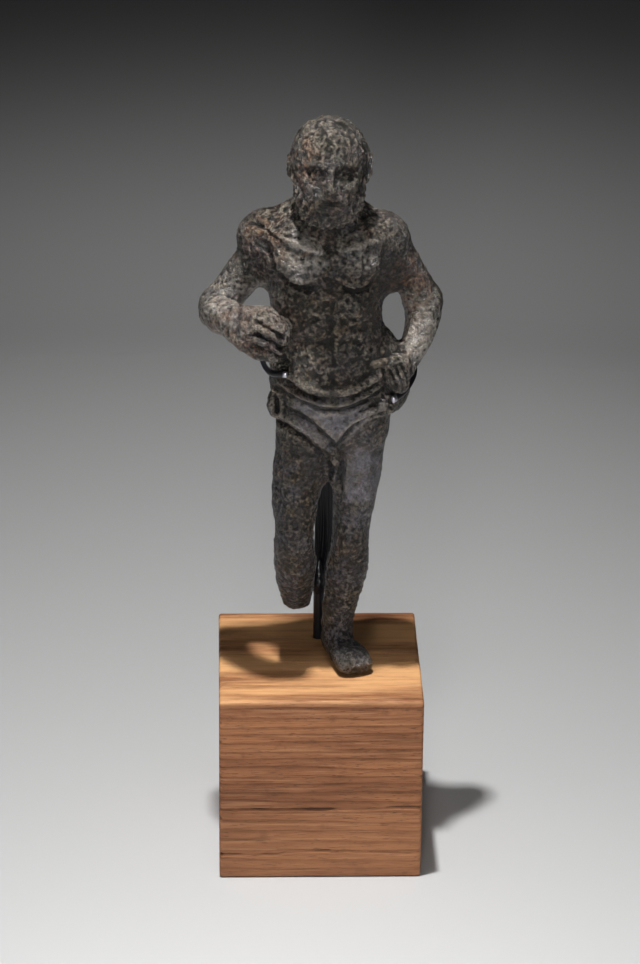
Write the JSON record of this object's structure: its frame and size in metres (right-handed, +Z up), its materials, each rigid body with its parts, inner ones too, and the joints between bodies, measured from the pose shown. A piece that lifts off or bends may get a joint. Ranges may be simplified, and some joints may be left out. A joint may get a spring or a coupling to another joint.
{
  "type": "bronze boxer figurine",
  "caption": "Small cast bronze boxer in a knotted loincloth, one leg broken off below the knee, held by a wire cradle on a post in a wooden block.",
  "frame": {"origin": "centre of the wooden block's underside", "axes": "+Z up along the figure, -Y is the way the boxer faces, +X is the boxer's left"},
  "size_m": [0.0525, 0.0446, 0.1698],
  "materials": {
    "bronze": "dark brown-black corroded bronze patina, pitted, half matt",
    "wood": "orange-brown oiled wood with open grain",
    "blackened_steel": "gloss black"
  },
  "bodies": {
    "root": {"boxer": "bronze", "block": "wood", "post": "blackened_steel", "right_claw": "blackened_steel", "left_claw": "blackened_steel", "centre_rest": "blackened_steel"}
  },
  "joints": []
}
